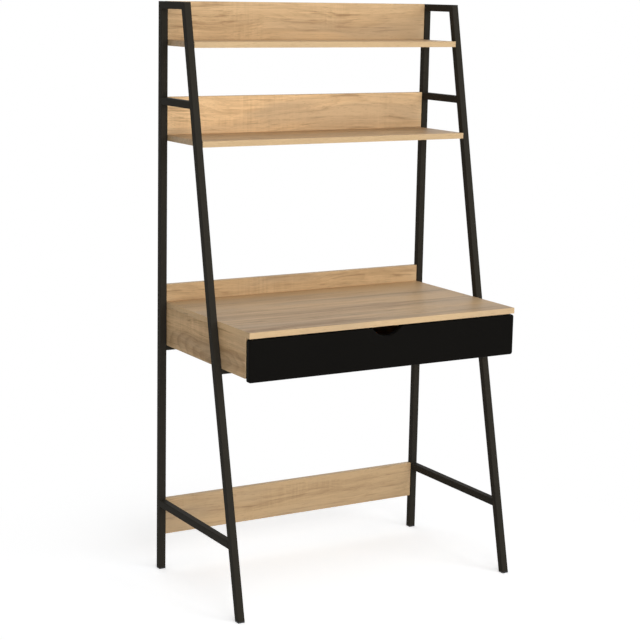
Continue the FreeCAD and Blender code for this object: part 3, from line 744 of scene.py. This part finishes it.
class LADDERDESK_OT_frames(bpy.types.Operator):
    """Finishes the tubes and cross rails in satin powder coat and the bolts in black oxide."""

    bl_idname = "ladderdesk.frames"
    bl_label = "Steel frames"

    def execute(self, context):
        black = context.scene.ladderdesk_black
        colour = tuple(black.steel_colour)
        steel = coat_material("black_powder_coat", colour, black.steel_roughness, specular=0.015)
        dress(sided(*SQUARE_TUBES) + list(CROSS_RAILS), steel)
        oxide = coat_material("black_oxide", colour, roughness=0.40, specular=0.03,
                              grit_cells=1600.0, peel=0.05)
        dress(["frame_bolts", "box_bolts"], oxide)
        return {"FINISHED"}


class LADDERDESK_OT_beads(bpy.types.Operator):
    """Adds the weld beads above and below both ends of each rung."""

    bl_idname = "ladderdesk.beads"
    bl_label = "Weld beads"
    level_slack = 0.0001

    def execute(self, context):
        black = context.scene.ladderdesk_black
        steel = bpy.data.materials["black_powder_coat"]
        for side in SIDES:
            tubes = [bead_points(middle, black.bead_half_length, black.bead_radius)
                     for rung in RUNGS for middle in self.corners(f"{side}_{rung}")]
            new_piece(f"{side}_weld_beads", tubes, "desk", steel)
        return {"FINISHED"}

    def corners(self, rung):
        """The middles of the four lines where a rung's upper and lower faces meet the posts."""
        mesh = frame["nodes"][rung].data
        points = np.empty(len(mesh.vertices) * 3)
        mesh.vertices.foreach_get("co", points)
        points = points.reshape(-1, 3)
        low, high = points.min(axis=0), points.max(axis=0)
        middle = (low[X] + high[X]) / 2
        found = []
        for level in (low[Z], high[Z]):
            row = points[np.abs(points[:, Z] - level) < self.level_slack]
            found += [(middle, row[:, Y].min(), level), (middle, row[:, Y].max(), level)]
        return found


class LADDERDESK_OT_feet(bpy.types.Operator):
    """Finishes the feet and the seam plugs in black moulded plastic."""

    bl_idname = "ladderdesk.feet"
    bl_label = "Feet and plugs"

    def execute(self, context):
        colour = tuple(context.scene.ladderdesk_black.plastic_colour)
        plastic = plastic_material("black_moulded_plastic", colour, roughness=0.5)
        dress(sided("rear_foot", "front_foot") + ["seam_pin_plugs", "seam_socket_plugs"], plastic)
        return {"FINISHED"}


class LADDERDESK_OT_drawer_front(bpy.types.Operator):
    """Finishes the drawer front in matte black lacquer."""

    bl_idname = "ladderdesk.drawer_front"
    bl_label = "Drawer front"

    def execute(self, context):
        black = context.scene.ladderdesk_black
        lacquer = coat_material("black_lacquer", tuple(black.front_colour), black.front_roughness,
                                specular=0.022, grit_cells=1300.0, peel=0.06)
        dress(["drawer_front"], lacquer)
        return {"FINISHED"}


class LADDERDESK_OT_drawer_box(bpy.types.Operator):
    """Finishes the drawer's sides, back and bottom in plain oak foil."""

    bl_idname = "ladderdesk.drawer_box"
    bl_label = "Drawer box"

    def execute(self, context):
        oak = context.scene.ladderdesk_oak
        light, dark = tuple(oak.light_colour), tuple(oak.dark_colour)
        to_rear = oak_material("oak_foil_to_rear", Y, light, dark, oak, kind=FOIL_PRINT)
        dress(["drawer_left_side", "drawer_right_side"], to_rear)
        along_desk = oak_material("oak_foil_along_desk", X, light, dark, oak, kind=FOIL_PRINT)
        dress(["drawer_back", "drawer_bottom"], along_desk)
        return {"FINISHED"}


class LADDERDESK_OT_slides(bpy.types.Operator):
    """Finishes the runners in pale powder coat and the rollers in nylon."""

    bl_idname = "ladderdesk.slides"
    bl_label = "Drawer slides"

    def execute(self, context):
        hardware = context.scene.ladderdesk_hardware
        coat = coat_material("pale_powder_coat", tuple(hardware.runner_colour),
                             roughness=0.42, specular=0.5)
        dress(sided("cabinet_runner", "drawer_runner"), coat)
        nylon = plastic_material("white_nylon", tuple(hardware.nylon_colour), roughness=0.38)
        dress(sided("front_roller", "rear_roller"), nylon)
        return {"FINISHED"}


class LADDERDESK_OT_hardware(bpy.types.Operator):
    """Finishes the screws, cams and axles in zinc and the dowels in beech."""

    bl_idname = "ladderdesk.hardware"
    bl_label = "Screws, cams and dowels"

    def execute(self, context):
        hardware = context.scene.ladderdesk_hardware
        zinc = zinc_material("zinc_plate", tuple(hardware.zinc_colour), roughness=0.28)
        dress(ZINC_PIECES, zinc)
        beech = beech_material("bare_beech", tuple(hardware.beech_colour), roughness=0.6)
        dress(["wood_dowels"], beech)
        return {"FINISHED"}


# Lamps: a name, a place, what the lamp looks at, the side of its square and its power setting
LAMPS = (
    ("front_lamp", (-0.7, -4.4, 1.5), (0.0, 0.0, 0.9), 2.4, "front_power"),
    ("right_lamp", (2.0, -3.8, 2.6), (0.0, 0.0, 0.9), 2.4, "right_power"),
    ("side_lamp", (-3.6, -0.9, 1.2), (0.0, -0.1, 0.8), 2.2, "side_power"),
    ("rear_lamp", (-0.3, 3.3, 3.5), (0.0, 0.1, 0.8), 3.6, "rear_power"),
    ("top_lamp", (0.2, -0.6, 3.9), (0.0, -0.1, 0.8), 2.4, "top_power"),
)


class LADDERDESK_OT_stage(bpy.types.Operator):
    """Lays the floor, sets the lamps and the room's light, and places the camera."""

    bl_idname = "ladderdesk.stage"
    bl_label = "Studio"
    # Metres below the soles, the glow's strength, and metres from the desk where it turns white
    floor_drop = 0.0003
    floor_glow = 0.49
    floor_fade = (0.45, 1.15)
    # Millimetres, like the lens
    sensor_width = 36.0

    def execute(self, context):
        stage = context.scene.ladderdesk_stage
        self.floor(context, stage)
        self.room(context, stage)
        for name, place, aim, size, power in LAMPS:
            self.lamp(context, name, place, aim, size, getattr(stage, power))
        self.camera(context, stage)
        context.scene.view_settings.view_transform = "Standard"
        return {"FINISHED"}

    def white_rays(self, finish):
        """1 for rays from the camera, from gloss and through glass."""
        path = ("Is Camera Ray", "Is Glossy Ray", "Is Transmission Ray")
        camera, gloss, through = (finish.add("ShaderNodeLightPath", {}, {}, name) for name in path)
        return camera.larger(gloss).larger(through)

    def floor(self, context, stage):
        """A sheet just under the feet, clear from below. For the camera it adds about half of
        white near the desk, where it keeps the shadow, and turns plain white further away."""
        material, floor = new_material("studio_floor")
        measure = {"operation": "LENGTH"}
        length = floor.add("ShaderNodeVectorMath", measure, {0: floor.place()}, "Value")
        paint = floor.add("ShaderNodeBsdfDiffuse", {}, {"Color": tuple(stage.floor_colour)})
        half_glow, glow = (
            floor.add("ShaderNodeEmission", {}, {"Color": WHITE, "Strength": strength})
            for strength in (self.floor_glow, 1.0))
        near = floor.add("ShaderNodeAddShader", {}, {0: paint, 1: half_glow})
        seen = floor.shade(floor.ramp(length, *self.floor_fade), near, glow)
        above = floor.shade(self.white_rays(floor), paint, seen)
        below = floor.add("ShaderNodeBsdfTransparent", {}, {})
        is_below = floor.add("ShaderNodeNewGeometry", {}, {}, "Backfacing")
        both = floor.shade(is_below, above, below)
        floor.add("ShaderNodeOutputMaterial", {}, {"Surface": both})
        corners = np.array([[-1, -1], [1, -1], [1, 1], [-1, 1]]) * stage.floor_half
        points = np.concatenate([corners, np.full((4, 1), -self.floor_drop)], axis=1)
        mesh = bpy.data.meshes.new("studio_floor")
        mesh.from_pydata(points.tolist(), [], [[0, 1, 2, 3]])
        mesh.materials.append(material)
        sheet = bpy.data.objects.new("studio_floor", mesh)
        context.scene.collection.objects.link(sheet)

    def room(self, context, stage):
        """Even light from all sides, seen as white."""
        world = bpy.data.worlds.new("studio_room")
        context.scene.world = world
        world.use_nodes = True
        room = Finish(world.node_tree)
        light, seen = (
            room.add("ShaderNodeBackground", {}, {"Color": WHITE, "Strength": strength})
            for strength in (stage.room_level, 1.0))
        both = room.shade(self.white_rays(room), light, seen)
        room.add("ShaderNodeOutputWorld", {}, {"Surface": both})

    def lamp(self, context, name, place, aim, size, power):
        """A square soft lamp that looks at a point, unseen by the camera and in gloss."""
        light = bpy.data.lights.new(name, "AREA")
        light.shape = "SQUARE"
        light.size = size
        light.energy = power
        lamp = bpy.data.objects.new(name, light)
        context.scene.collection.objects.link(lamp)
        lamp.location = place
        lamp.rotation_euler = (Vector(aim) - Vector(place)).to_track_quat("-Z", "Y").to_euler()
        lamp.visible_camera = False
        lamp.visible_glossy = False

    def camera(self, context, stage):
        """The camera: its view line from turn and dip, then rolled about that line."""
        turn, dip, roll = stage.camera_turn, stage.camera_dip, stage.camera_roll
        level = math.cos(dip)
        ahead = Vector((math.sin(turn) * level, math.cos(turn) * level, -math.sin(dip)))
        right = Vector((math.cos(turn), -math.sin(turn), 0.0))
        down = ahead.cross(right)
        across = math.cos(roll) * right + math.sin(roll) * down
        below = math.cos(roll) * down - math.sin(roll) * right
        matrix = Matrix((across, -below, -ahead)).transposed().to_4x4()
        matrix.translation = Vector(stage.camera_place)
        lens = bpy.data.cameras.new("studio_camera")
        lens.sensor_width = self.sensor_width
        lens.lens = stage.camera_lens
        lens.shift_x, lens.shift_y = stage.camera_shift
        camera = bpy.data.objects.new("studio_camera", lens)
        context.scene.collection.objects.link(camera)
        camera.matrix_world = matrix
        context.scene.camera = camera


class LADDERDESK_PT_panel(bpy.types.Panel):
    """Lists the desk's finishes and pieces in the order they are made."""

    bl_idname = "LADDERDESK_PT_panel"
    bl_label = "Ladder Desk"
    bl_space_type = "VIEW_3D"
    bl_region_type = "UI"
    bl_category = "Ladder Desk"

    def draw(self, context):
        for operator in OPERATORS:
            self.layout.operator(operator.bl_idname)
        for group in GROUPS:
            settings = getattr(context.scene, group)
            box = self.layout.box()
            for name in settings.__annotations__:
                box.prop(settings, name)


GROUPS = {
    "ladderdesk_oak": LADDERDESK_PG_oak,
    "ladderdesk_black": LADDERDESK_PG_black,
    "ladderdesk_hardware": LADDERDESK_PG_hardware,
    "ladderdesk_stage": LADDERDESK_PG_stage,
}
OPERATORS = (
    LADDERDESK_OT_boards,
    LADDERDESK_OT_bands,
    LADDERDESK_OT_frames,
    LADDERDESK_OT_beads,
    LADDERDESK_OT_feet,
    LADDERDESK_OT_drawer_front,
    LADDERDESK_OT_drawer_box,
    LADDERDESK_OT_slides,
    LADDERDESK_OT_hardware,
    LADDERDESK_OT_stage,
)


def register():
    """Adds the classes and their settings."""
    for kind in (*GROUPS.values(), *OPERATORS, LADDERDESK_PT_panel):
        bpy.utils.register_class(kind)
    for name, kind in GROUPS.items():
        setattr(bpy.types.Scene, name, PointerProperty(type=kind))


def unregister():
    """Takes the settings and the classes away again."""
    for name in GROUPS:
        delattr(bpy.types.Scene, name)
    for kind in (LADDERDESK_PT_panel, *reversed(OPERATORS), *GROUPS.values()):
        bpy.utils.unregister_class(kind)


def main():
    """Makes the whole scene."""
    register()
    bpy.ops.ladderdesk.boards()
    bpy.ops.ladderdesk.bands()
    bpy.ops.ladderdesk.frames()
    bpy.ops.ladderdesk.beads()
    bpy.ops.ladderdesk.feet()
    bpy.ops.ladderdesk.drawer_front()
    bpy.ops.ladderdesk.drawer_box()
    bpy.ops.ladderdesk.slides()
    bpy.ops.ladderdesk.hardware()
    bpy.ops.ladderdesk.stage()


if __name__ == "__main__":
    main()
